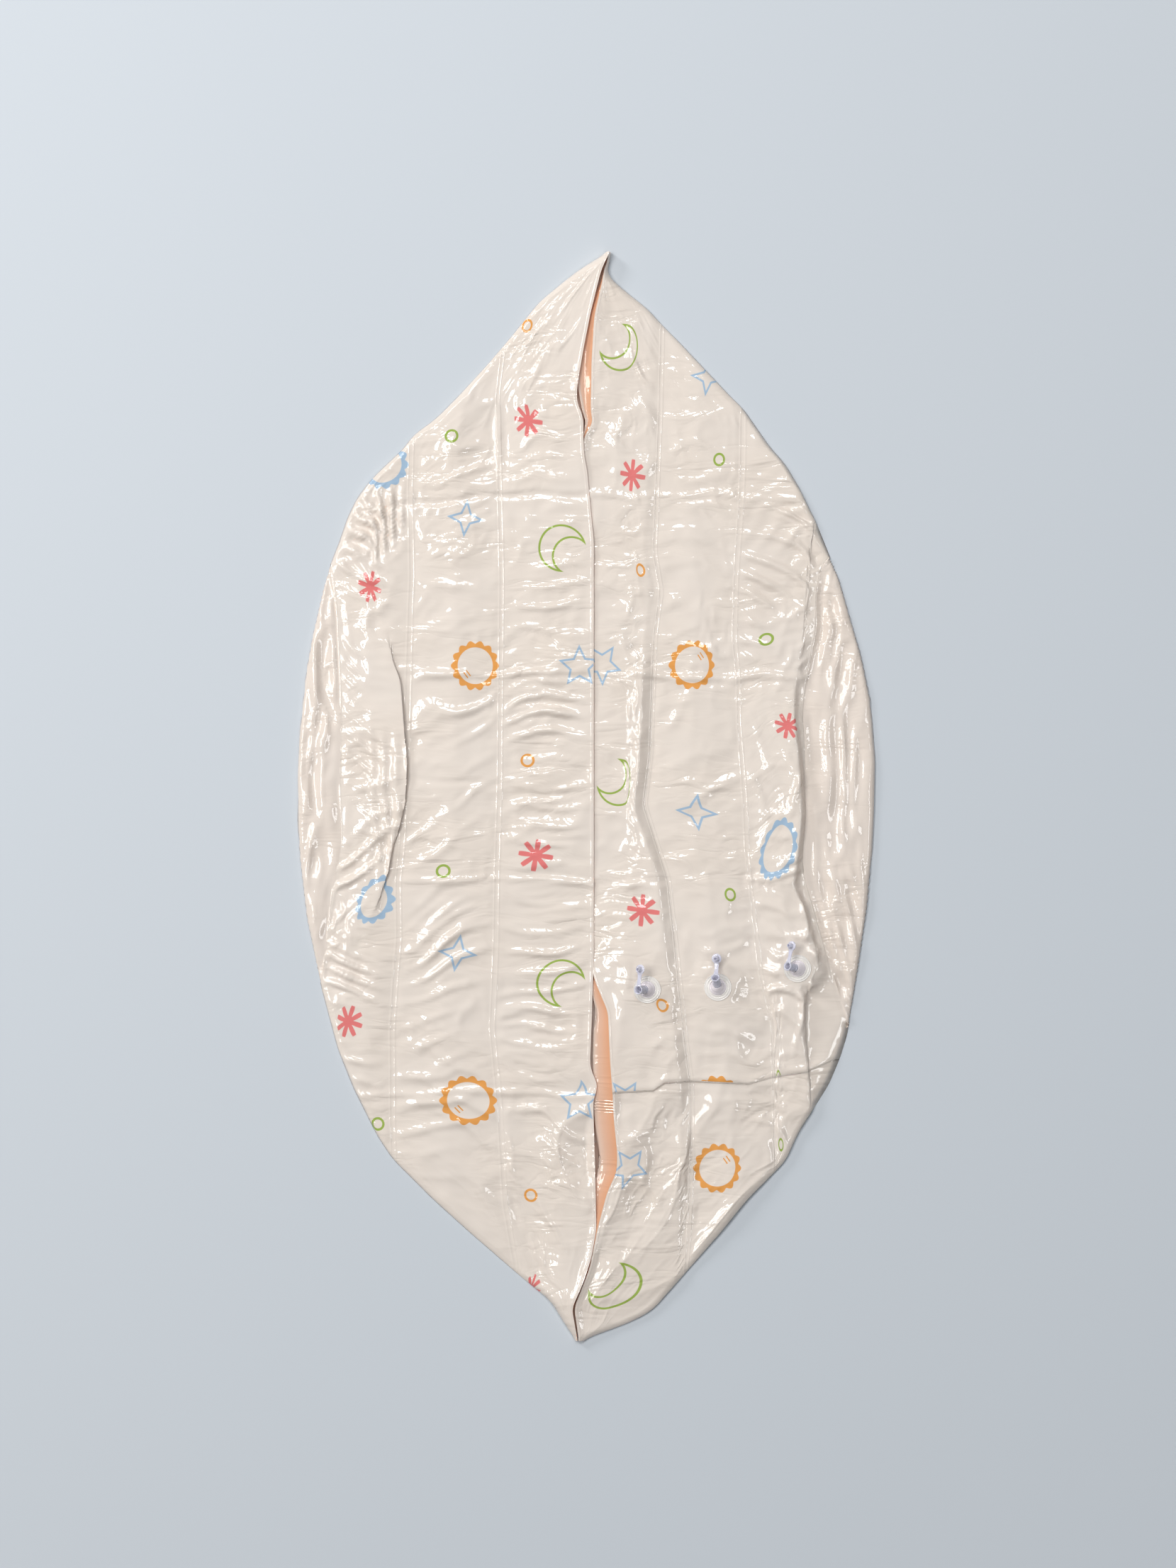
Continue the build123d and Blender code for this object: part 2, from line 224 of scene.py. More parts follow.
def relax(points, shorten_x, shorten_y, free, rest_height, floor, rounds):
    """Thin film settling: neighbours keep their flat distances, which are longer than the laid-out shape by
    the given shares, so the film buckles into wrinkles. A soft bed draws it back to its rest height, its
    stiffness evens it out, and nothing goes under the floor."""
    p = points.copy()
    pairs = []
    sy, sx = slice(None), slice(None)
    for a, b, longer in (((sy, slice(None, -1)), (sy, slice(1, None)), shorten_x),
                         ((slice(None, -1), sx), (slice(1, None), sx), shorten_y),
                         ((slice(None, -1), slice(None, -1)), (slice(1, None), slice(1, None)), None),
                         ((slice(None, -1), slice(1, None)), (slice(1, None), slice(None, -1)), None)):
        gap = np.linalg.norm(points[b] - points[a], axis=2)
        more = 0.5 * (shorten_x + shorten_y) if longer is None else longer
        strength = 0.35 if longer is None else 1.0
        pairs.append((a, b, gap * (1 + 0.5 * (more[a] + more[b])), strength))
    velocity = np.zeros_like(p)
    for _ in range(rounds):
        push = np.zeros_like(p)
        for a, b, length, strength in pairs:
            d = p[b] - p[a]
            now = np.sqrt((d * d).sum(2)) + 1e-9
            move = d * (pair_share * strength * (now - length) / now)[..., None]
            push[a] += move
            push[b] -= move
        z = p[..., 2]
        curve = np.zeros_like(z)
        curve[1:-1] += z[:-2] + z[2:] - 2 * z[1:-1]
        curve[:, 1:-1] += z[:, :-2] + z[:, 2:] - 2 * z[:, 1:-1]
        bend = np.zeros_like(z)
        bend[1:-1] += curve[:-2] + curve[2:] - 2 * curve[1:-1]
        bend[:, 1:-1] += curve[:, :-2] + curve[:, 2:] - 2 * curve[:, 1:-1]
        push[..., 2] += bed_pull * (rest_height - z) - bend_stiffness * bend
        velocity = kept_speed * velocity + push
        p += velocity * free[..., None]
        low = p[..., 2] < floor
        p[..., 2][low] = floor[low]
        velocity[..., 2][low] = 0
    return p


def smooth_step(low, high, value):
    t = np.clip((value - low) / (high - low), 0, 1)
    return t * t * (3 - 2 * t)


def bump_at(y, strip, at, place, y_reach, place_reach):
    """A soft patch, one in its middle and next to nothing two reaches away."""
    return np.exp(-((y - at) / y_reach) ** 2 - ((strip - place) / place_reach) ** 2)


valve_centres = [(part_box(f"valve_flange_{n}")[0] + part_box(f"valve_flange_{n}")[1]) * 500 for n in (1, 2, 3)]
pad_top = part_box("valve_flange_1")[0][2] * 1000 - 0.15
flange_radius = (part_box("valve_flange_1")[1][0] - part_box("valve_flange_1")[0][0]) * 500

# Wrinkles, as (y, strip place, reach along, reach down the strip, way the waves run in degrees from across
# the pool, wave length, height). 90 makes wrinkles that lie straight across the pool.
waves = {
    -1: [(60, 285, 130, 22, 4, 17, 1.7), (370, 262, 60, 26, 6, 16, 2.4), (-60, 268, 90, 16, 176, 14, 1.5),
         (215, 58, 100, 52, 84, 27, 1.5), (70, 60, 100, 52, 96, 24, 1.6), (-70, 58, 90, 52, 88, 30, 1.3),
         (-215, 60, 75, 52, 92, 26, 1.5), (-300, 60, 60, 50, 80, 22, 1.0), (-420, 60, 100, 60, 70, 46, 1.3),
         (430, 60, 90, 60, 100, 60, 1.0), (590, 40, 80, 50, 130, 44, 1.2), (120, 175, 130, 50, 118, 44, 1.8),
         (-60, 175, 100, 48, 122, 34, 1.8), (-240, 170, 100, 48, 112, 26, 1.4),
         (-340, 150, 80, 50, 60, 30, 1.2), (320, 180, 90, 50, 75, 48, 1.2), (440, 160, 90, 60, 100, 40, 1.4),
         (240, 300, 90, 48, 70, 24, 1.6), (380, 300, 90, 60, 40, 22, 2.0), (60, 315, 110, 36, 60, 22, 1.4),
         (-110, 315, 80, 40, 128, 26, 2.0), (-220, 310, 80, 46, 70, 20, 1.8), (-330, 290, 80, 50, 88, 24, 1.4),
         (-480, 150, 90, 70, 50, 52, 1.6), (-430, 50, 70, 40, 70, 40, 2.4), (-400, 200, 80, 44, 96, 34, 2.2),
         (-540, 60, 60, 50, 40, 44, 2.0)],
    1: [(-60, 318, 150, 22, 172, 24, 1.8), (-240, 320, 90, 24, 10, 26, 1.8), (-90, 55, 120, 44, 75, 40, 1.0),
        (120, 55, 120, 44, 105, 52, 1.0), (320, 60, 100, 50, 84, 38, 1.2), (480, 60, 100, 50, 60, 46, 1.2),
        (-400, 100, 60, 60, 150, 52, 1.8), (-470, 60, 60, 50, 20, 60, 1.8), (60, 180, 110, 48, 110, 60, 1.2),
        (-110, 170, 100, 48, 60, 48, 1.2), (-180, 200, 70, 40, 100, 24, 1.0), (250, 170, 90, 50, 80, 50, 1.2),
        (400, 175, 90, 50, 95, 36, 1.3), (300, 290, 100, 46, 55, 24, 2.2), (420, 290, 80, 56, 120, 26, 2.0),
        (190, 300, 60, 50, 90, 22, 2.0), (60, 290, 90, 40, 20, 34, 1.3), (-120, 290, 80, 44, 100, 28, 1.4),
        (-250, 290, 70, 50, 60, 28, 2.0), (-340, 230, 70, 60, 84, 26, 1.4), (-450, 250, 70, 60, 60, 34, 1.6)],
}


def wave_field(side, x, y, strip, seed):
    """Wrinkle heights: sine waves whose crests are sharpened and whose way, phase and height wander."""
    bend_way = lump_noise(x.shape, (16, 5), seed)
    phase_way = lump_noise(x.shape, (34, 9), seed + 1)
    strength = lump_noise(x.shape, (24, 8), seed + 2)
    out = np.zeros_like(x)
    for n, (at, place, y_reach, reach, way, length, height) in enumerate(waves[side]):
        turn = math.radians(way)
        phase = (x * math.cos(turn) + y * math.sin(turn)) * 2 * math.pi / length
        phase = phase + 1.5 * bend_way * 34 / length + 0.9 * phase_way + 1.7 * n
        crest = np.exp(1.6 * (np.sin(phase) - 1)) - 0.37
        patch = bump_at(y, strip, at * y_scale, place, y_reach, reach)
        out += patch * height * 1.5 * crest * np.clip(0.75 + 0.5 * strength, 0.1, 1.8)
    return out


# Extra film, as (y, strip place, reach along, reach down the strip, share along, share down the strip).
slack = {
    -1: [(180, 55, 190, 42, 0.020, 0.002), (-120, 55, 180, 42, 0.022, 0.002), (-330, 60, 120, 45, 0.014, 0.006),
         (60, 175, 260, 40, 0.009, 0.009), (-260, 175, 130, 40, 0.013, 0.009), (380, 170, 90, 60, 0.010, 0.010),
         (430, 290, 90, 70, 0.016, 0.016), (100, 305, 160, 35, 0.010, 0.006),
         (-200, 300, 170, 45, 0.020, 0.014), (-480, 80, 90, 60, 0.008, 0.010), (560, 50, 90, 50, 0.006, 0.008)],
    1: [(-420, 95, 90, 60, 0.011, 0.010), (-540, 60, 90, 70, 0.008, 0.008), (-80, 60, 160, 40, 0.010, 0.006),
        (-60, 175, 220, 45, 0.007, 0.004), (430, 290, 110, 60, 0.018, 0.016), (250, 290, 100, 40, 0.014, 0.012),
        (-230, 300, 120, 50, 0.018, 0.014), (330, 60, 150, 50, 0.008, 0.006), (180, 150, 90, 60, 0.008, 0.010),
        (20, 290, 120, 40, 0.010, 0.012), (-400, 220, 90, 60, 0.010, 0.010)],
}
# Creases from the pack, as (y at the rim, rise per millimetre down the strip, from, to, height, half width).
creases = {
    -1: [(388, -0.05, 0, 340, -1.5, 7), (158, 0.0, 0, 262, 1.5, 7), (-108, 0.01, 0, 240, 1.3, 7),
         (-379, 0.0, 0, 330, 1.8, 8), (20, 0.0, 120, 230, -0.7, 6)],
    1: [(386, -0.02, 0, 330, 1.2, 6), (157, -0.02, 60, 350, 2.2, 8), (-128, 0.10, 230, 350, 2.2, 7),
        (-108, -0.02, 0, 120, -1.0, 7), (20, 0.0, 100, 235, 0.7, 6)],
}


rows_y = np.linspace(-half_length, half_length, row_count)
# The strip's end is welded over its start on the right half, along this line of x and y. One row of the grid
# runs along it.
lap_row = np.argmin(np.abs(rows_y + 362 * y_scale))
lap_line = ([34, 85, 99.5, 131, 206, 237.5, 280, 316],
            [-379, -376, -366.6, -364.7, -367.5, -359.4, -352.6, -338])


def lay_film(side):
    """One half of the outer wall film as a grid of points: laid along its lines, turned under at the
    outline, and left to wrinkle. Also gives each point's place down the strip and along it. The fold is
    always the same column, at strip place F(y), so strip = F * column / top_columns up to there."""
    y = rows_y
    lines = folded_lines(side)
    places = sorted(lines)
    fine = np.linspace(0, wall_height, 501)
    weight = np.stack([np.interp(fine, places, row) for row in np.eye(len(places))])
    fine_x = np.stack([across(lines[k][0], y) for k in places]).T @ weight
    fine_z = np.stack([along(lines[k][1], y) for k in places]).T @ weight
    fine_x, fine_z = eased(fine_x, 40), eased(fine_z, 40)

    for at, slope, low, high, height, half in creases[side]:
        wander = 3.0 * np.sin(fine / 37.0 + at) + 1.5 * np.sin(fine / 13.0 + 2 * at)
        away = np.abs(y[:, None] - at * y_scale - slope * fine - wander)
        fade = smooth_step(low - 12, low + 12, fine) * (1 - smooth_step(high - 14, high + 14, fine))
        fine_z += height * fade * np.clip(1 - away / half, 0, 1)

    outline = across(left_outline if side < 0 else right_outline, y)
    beyond = np.logical_or.accumulate(side * (outline[:, None] - fine_x) < 0, axis=1)
    fold = np.where(beyond.any(1), fine[beyond.argmax(1)], wall_height)
    fold = np.minimum(eased(fold, 6), wall_height)
    is_folded = beyond.any(1)
    top = np.linspace(0, 1, top_columns + 1)
    under = np.linspace(0, 1, under_columns + 1)[1:]
    strip = np.concatenate([fold[:, None] * top, fold[:, None] + (wall_height - fold[:, None]) * under], 1)
    x = np.stack([np.interp(row, fine, values) for row, values in zip(strip, fine_x)])
    z = np.stack([np.interp(row, fine, values) for row, values in zip(strip, fine_z)])
    miss = np.where(is_folded, outline - x[:, top_columns], 0.0)
    x += miss[:, None] * smooth_step(fold[:, None] - 25, fold[:, None], strip)
    lean = 1 / np.sqrt(1 + np.gradient(outline, y) ** 2)
    from_edge = np.clip(side * (outline[:, None] - x) * lean[:, None], 0, None)
    q = np.clip(from_edge / fold_round, 0, 1)
    z = under_height + (z - under_height) * np.sqrt(1 - (1 - q) ** 2)

    half_turn = math.asin(floor_turn)
    turn = half_turn * np.clip((half_length - np.abs(y)) / (half_length - floor_reach * y_scale), 0, 1)
    end_y = np.sign(y) * floor_radius * np.cos(turn)
    end_x = side * np.minimum(floor_radius * np.sin(turn), np.interp(end_y, y, np.abs(outline)) - 6)
    yy = np.repeat(y[:, None], strip.shape[1], axis=1)
    way = np.where(is_folded, 1.0, 0.0)[:, None] * under
    x[:, top_columns + 1:] = x[:, top_columns, None] + way * (end_x - x[:, top_columns])[:, None]
    lapped = smooth_step(half_length - 60, half_length, np.abs(y))[:, None]  # the halves lap under the tips
    x[:, top_columns + 1:] -= side * 5.5 * lapped * smooth_step(0, 0.07, way) * (1 - smooth_step(0.8, 1, way))
    yy[:, top_columns + 1:] = y[:, None] + way * (end_y - y)[:, None]
    z[:, top_columns + 1:] = np.where(is_folded[:, None], under_height, z[:, top_columns, None])
    z[:, top_columns + 1:] += (0.15 if side > 0 else 0.0) * lapped

    strip_y = np.repeat(y[:, None], strip.shape[1], axis=1)
    if side > 0:  # rows bend so that one of them runs along the lap, which then has a clean edge
        lap_y = np.full(strip.shape[1], y[lap_row])
        for _ in range(3):
            at_lap = [np.interp(at, y, column) for at, column in zip(lap_y, x.T)]
            lap_y = np.interp(np.array(at_lap) / x_scale, *lap_line) * y_scale
        lap_y[top_columns + 1:] = lap_y[top_columns]
        strip_y += (lap_y - y[lap_row]) * (1 - smooth_step(0, 110, np.abs(y - y[lap_row])))[:, None]
        x, yy, z, strip, from_edge = (
            np.stack([np.interp(rows, y, column) for rows, column in zip(strip_y.T, grid.T)], 1)
            for grid in (x, yy, z, strip, from_edge))
        over_lap = strip_y - lap_y
        step = smooth_step(0, 2.4, over_lap) - smooth_step(3, 30, over_lap)
        step += 0.5 * np.exp(-(((over_lap - 7) / 2.2) ** 2))
        z += 0.9 * step * np.clip(from_edge / fold_round, 0, 1)

    held = np.zeros(x.shape, bool)
    held[:, top_columns:] = True
    free = np.where(held, 0.0, np.clip(from_edge / 14.0, 0.0, 1.0))
    free *= np.clip(0.25 + strip / 12.0, 0, 1) * np.clip((wall_height - strip) / 10.0, 0, 1)
    if side > 0:
        for centre in valve_centres:
            away = np.hypot(x - centre[0], yy - centre[1])
            near = 1 - smooth_step(flange_radius + 1.0, flange_radius + 26.0, away)
            z = z + near * (pad_top - z)
            free = free * smooth_step(flange_radius + 1.0, flange_radius + 12.0, away)

    down, longer = np.full(x.shape, 0.003), np.full(x.shape, 0.004)
    for at, place, y_reach, reach, share_y, share_x in slack[side]:
        patch = bump_at(yy, strip, at * y_scale, place, y_reach, reach)
        longer += share_y * patch
        down += share_x * patch
    to_weld = np.min([np.abs(strip - k * ring_height) for k in range(4)], axis=0)
    in_ring = np.clip(0.25 + to_weld / 14.0, 0, 1)
    longer, down = longer * np.clip(in_ring + 0.25, 0, 1), down * in_ring

    points = np.stack([x, yy, z], axis=2)
    seed = 11 if side < 0 else 23
    creased = 0.9 * sharp_noise(x.shape, (44, 11), seed) + 0.35 * sharp_noise(x.shape, (96, 22), seed + 1)
    tip = smooth_step(330, 440, np.abs(yy))
    narrow = np.clip(fold / 230, 0.3, 1)[:, None]
    dent = np.where(yy > 0, 1.6 if side > 0 else 1.8, 4.6 if side > 0 else 4.4)
    creased = (creased * (1 - 0.4 * tip) + dent * tip * sharp_noise(x.shape, (17, 4), seed + 4)) * narrow
    level = 0.9 * sharp_noise(x.shape, (66, 5), seed + 2) + 0.7 * sharp_noise(x.shape, (38, 4), seed + 3)
    creased = creased * (1.25 if side > 0 else 1.05)
    creased += 2.1 * level * (bump_at(yy, strip, 20, 58, 330, 52) if side < 0 else 0.2)
    wrinkled = (1.35 * wave_field(side, x, yy, strip, seed + 5) + creased) * in_ring
    points[..., 2] += wrinkled * free
    floor = np.where(held, 0.0, 1.4)
    rest = z + 0.8 * wrinkled * free
    rounds = 170
    settled = relax(points, down, longer, free, rest, floor, rounds)
    return settled, strip, strip_y


def film_triangles(grid_shape, rising):
    """Two triangles for each cell of a grid, cut along the way the outline's fold crosses it."""
    rows, columns = grid_shape
    i, j = np.meshgrid(np.arange(rows - 1), np.arange(columns - 1), indexing="ij")
    a, b, c, d = (i * columns + j, i * columns + j + 1, (i + 1) * columns + j + 1, (i + 1) * columns + j)
    one = np.stack([np.stack([a, b, c], -1), np.stack([a, c, d], -1)], 2)
    other = np.stack([np.stack([a, b, d], -1), np.stack([b, c, d], -1)], 2)
    return np.where(rising[:-1, None, None, None], other, one).reshape(-1, 3)


def placed(name, data):
    """A new object in the scene."""
    thing = bpy.data.objects.new(name, data)
    bpy.context.collection.objects.link(thing)
    return thing


def make_mesh(name, points, triangles, uv=None, down=None):
    """A mesh object from points in millimetres and triangles, shaded smooth, with an optional UV map and
    place down the strip for each point."""
    used, index = np.unique(triangles, return_inverse=True)
    triangles = index.reshape(-1, 3)
    points = points[used]
    mesh = bpy.data.meshes.new(name)
    mesh.vertices.add(len(points))
    mesh.vertices.foreach_set("co", (points * 0.001).astype(np.float32).ravel())
    mesh.loops.add(triangles.size)
    mesh.loops.foreach_set("vertex_index", triangles.astype(np.int32).ravel())
    mesh.polygons.add(len(triangles))
    mesh.polygons.foreach_set("loop_start", np.arange(0, triangles.size, 3, dtype=np.int32))
    mesh.update(calc_edges=True)
    mesh.polygons.foreach_set("use_smooth", np.ones(len(triangles), bool))
    if uv is not None:
        layer = mesh.uv_layers.new(name="film")
        layer.data.foreach_set("uv", (uv[used][triangles.ravel()] * 0.001).astype(np.float32).ravel())
    if down is not None:
        place = mesh.attributes.new("down", "FLOAT", "POINT")
        place.data.foreach_set("value", (down[used] * 0.001).astype(np.float32))
    mesh.update()
    return placed(name, mesh)


def normals(triangles, points):
    """Each triangle's normal, twice as long as the triangle is large."""
    p = points[triangles]
    return np.cross(p[:, 1] - p[:, 0], p[:, 2] - p[:, 0])


def facing_up(triangles, points, columns):
    """The triangles without the empty ones, all turned over if those near the first column face down."""
    triangles = triangles[np.linalg.norm(normals(triangles, points), axis=1) > 1e-4]
    near_rim = (triangles % columns < columns // 2).all(1)
    up = normals(triangles, points)[near_rim, 2].sum()
    return triangles if up > 0 else triangles[:, ::-1]


# The film's material: glossy cream vinyl. The print is drawn on the flat strip by nodes, from the UV map
# "film", whose U runs down from the rim and V along the strip, both in metres.

repeat = 555.0  # of the print, along the strip


def maths(operation, *values):
    """One Math node, in its inputs' tree. Numbers are set on its sockets, other nodes' outputs are linked."""
    tree = next(value.id_data for value in values if isinstance(value, bpy.types.NodeSocket))
    node = tree.nodes.new("ShaderNodeMath")
    node.operation = operation
    for socket, value in zip(node.inputs, values):
        if isinstance(value, (int, float)):
            socket.default_value = value
        else:
            tree.links.new(value, socket)
    return node.outputs[0]


def new_node(tree, kind, values):
    """A node of one kind, with values on its inputs."""
    node = tree.nodes.new(kind)
    for label, value in values.items():
        node.inputs[label].default_value = value
    return node


def mixed(first, second, share):
    """A mix of two colours, which are outputs or numbers. The share of the second one is an output."""
    tree = share.id_data
    mix = tree.nodes.new("ShaderNodeMix")
    mix.data_type = "RGBA"
    for label, value in (("A", first), ("B", second), ("Factor", share)):
        if isinstance(value, tuple):
            mix.inputs[label].default_value = value
        else:
            tree.links.new(value, mix.inputs[label])
    return mix.outputs["Result"]


plus, minus, times, times_plus, over_by, larger, smaller, size_of = (
    partial(maths, operation)
    for operation in ("ADD", "SUBTRACT", "MULTIPLY", "MULTIPLY_ADD", "DIVIDE", "MAXIMUM", "MINIMUM",
                      "ABSOLUTE"))


def new_group(name, inputs, outputs):
    """An empty node group of number sockets. inputs are names with their defaults, outputs are names."""
    tree = bpy.data.node_groups.new(name, "ShaderNodeTree")
    for label, default in inputs.items():
        tree.interface.new_socket(label, in_out="INPUT", socket_type="NodeSocketFloat").default_value = default
    for label in outputs:
        tree.interface.new_socket(label, in_out="OUTPUT", socket_type="NodeSocketFloat")
    return tree, tree.nodes.new("NodeGroupInput").outputs, tree.nodes.new("NodeGroupOutput").inputs


# print_place: film coordinates in millimetres around a motif's middle, repeated along the strip and turned.
place_group, given, put = new_group("print_place", {"Middle U": 0.0, "Middle V": 0.0, "Turn": 0.0},
                                    ("Radius", "Angle"))
film_map = place_group.nodes.new("ShaderNodeUVMap")
film_map.uv_map = "film"
apart = place_group.nodes.new("ShaderNodeSeparateXYZ")
place_group.links.new(film_map.outputs[0], apart.inputs[0])
from_u = minus(times(apart.outputs[0], 1000.0), given["Middle U"])
from_v = minus(times(apart.outputs[1], 1000.0), given["Middle V"])
from_v = maths("WRAP", from_v, repeat / 2, -repeat / 2)
place_group.links.new(maths("SQRT", plus(times(from_u, from_u), times(from_v, from_v))), put["Radius"])
place_group.links.new(minus(maths("ARCTAN2", from_v, from_u), given["Turn"]), put["Angle"])

# print_petals: rim R(a) = base + size * (0.5 + 0.5 cos(lobes * a)) ^ power. Filled outside the inner radius,
# or drawn as a line where Line is above zero. The mask goes from 0 to 1 over 0.6 mm.
petal_group, given, put = new_group("print_petals",
                                    {"Radius": 0.0, "Angle": 0.0, "Base": 5.0, "Size": 5.0, "Lobes": 5.0,
                                     "Power": 1.0, "Inner": 0.0, "Line": 0.0, "Most": 99.0}, ("Mask",))
lobed = times(given["Angle"], given["Lobes"])
wave = times_plus(maths("COSINE", lobed), 0.5, 0.5)
rim = times_plus(given["Size"], maths("POWER", wave, given["Power"]), given["Base"])
rim = smaller(rim, given["Most"])
slope = times(times(given["Size"], given["Power"]),
              times(maths("POWER", larger(wave, 0.02), minus(given["Power"], 1.0)),
                    times(maths("SINE", lobed), times(given["Lobes"], 0.5))))
steep = over_by(slope, larger(given["Radius"], 3.0))
steep = maths("SQRT", times_plus(steep, steep, 1.0))
outside = over_by(minus(given["Radius"], rim), steep)
solid = larger(outside, minus(given["Inner"], given["Radius"]))
line = minus(size_of(outside), given["Line"])
is_line = maths("GREATER_THAN", given["Line"], 0.01)
drawn = times_plus(is_line, minus(line, solid), solid)
mask = times_plus(drawn, -1.6, 0.5)
petal_group.links.new(smaller(larger(mask, 0.0), 1.0), put["Mask"])

# print_star: straight edges from each tip to the inner corners; distance to the edge line through tip T and
# inner corner I is ((P - T) x (I - T)) / |I - T|, with P folded into one half of one point.
star_group, given, put = new_group("print_star", {"Radius": 0.0, "Angle": 0.0, "Tip": 20.0, "Corner": 9.0,
                                                  "Half Step": 0.785, "Line": 1.3}, ("Mask",))
folded_angle = size_of(maths("WRAP", given["Angle"], given["Half Step"], times(given["Half Step"], -1.0)))
point_x = times(given["Radius"], maths("COSINE", folded_angle))
point_y = times(given["Radius"], maths("SINE", folded_angle))
edge_x = minus(times(given["Corner"], maths("COSINE", given["Half Step"])), given["Tip"])
edge_y = times(given["Corner"], maths("SINE", given["Half Step"]))
edge = maths("SQRT", plus(times(edge_x, edge_x), times(edge_y, edge_y)))
outside = over_by(minus(times(minus(point_x, given["Tip"]), edge_y), times(point_y, edge_x)), edge)
line = minus(size_of(outside), given["Line"])
mask = times_plus(line, -1.6, 0.5)
star_group.links.new(smaller(larger(mask, 0.0), 1.0), put["Mask"])

film_colours = {"red": (0.83, 0.175, 0.175, 1), "orange": (0.87, 0.36, 0.05, 1),
                "green": (0.30, 0.46, 0.045, 1), "blue": (0.36, 0.55, 0.74, 1)}
# colour, middle down the strip, middle along it, turn, base, size, lobes, power, inner radius, line half width
motifs = [("orange", 151, 167, 0, 28, 4.0, 14, 0.7, 23.5, 0, 99),
          ("blue", 268, 424, 0, 28, 4.0, 14, 0.7, 23.5, 0, 99),
          ("red", 72, 480, 0.15, 7.5, 17, 8, 1.0, 0, 0, 20.5),
          ("red", 289, 268, 0.3, 7.5, 17, 8, 1.0, 0, 0, 20.5),
          ("orange", 83, 46, 0, 7.2, 0, 1, 1, 0, 1.5, 99), ("green", 183, 460, 0, 7.2, 0, 1, 1, 0, 1.5, 99),
          ("green", 252, 137, 0, 7.2, 0, 1, 1, 0, 1.5, 99)]
# middle down the strip, middle along it, turn, tip radius, corner radius, half of the angle between two points
stars = [(162, 355, 0.12, 21, 8.5, math.pi / 4), (18, 166, 0.3, 25, 12, math.pi / 5)]


